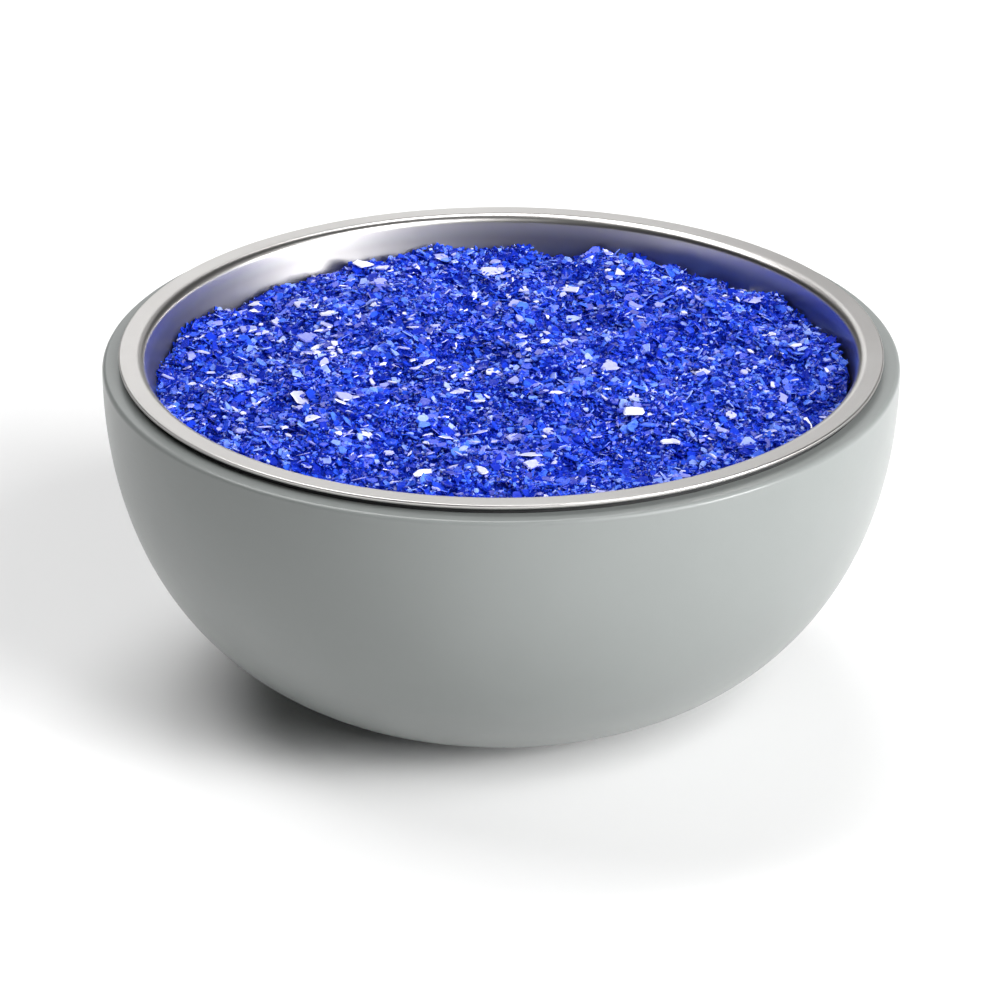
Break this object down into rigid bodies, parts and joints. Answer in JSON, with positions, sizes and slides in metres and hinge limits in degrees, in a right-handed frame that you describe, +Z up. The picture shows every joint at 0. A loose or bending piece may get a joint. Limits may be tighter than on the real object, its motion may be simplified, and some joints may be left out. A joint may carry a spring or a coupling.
{
  "type": "steel-lined bowl",
  "caption": "Round double-walled bowl: glossy moulded shell, lift-out steel liner with a flat bright flange on a dark gasket, and a loose fill of blue crystal flakes.",
  "frame": {"origin": "centre of the circle that the bowl stands on, on the lower face of the foot ring", "axes": "+Z up along the bowl's axis of revolution, out of its mouth; +X and +Y are two level directions"},
  "size_m": [0.16, 0.16, 0.072],
  "materials": {
    "shell_plastic": "gloss",
    "liner_steel": "satin",
    "gasket_rubber": "matte",
    "foot_rubber": "matte",
    "blue_crystal": "gloss",
    "pale_crystal": "gloss"
  },
  "bodies": {
    "shell": {"outer_shell": "shell_plastic", "rim_gasket": "gasket_rubber", "foot_ring": "foot_rubber"},
    "liner": {"steel_liner": "liner_steel"},
    "fill": {"crystal_bed": "blue_crystal", "broad_flakes": "pale_crystal", "fine_flakes": "blue_crystal"}
  },
  "joints": [
    {"name": "liner_lift", "type": "slide", "parent": "shell", "child": "liner", "axis": [0, 0, 1], "range_m": [0, 0.075]},
    {"name": "fill_lift", "type": "slide", "parent": "liner", "child": "fill", "axis": [0, 0, 1], "range_m": [0, 0.075]}
  ]
}
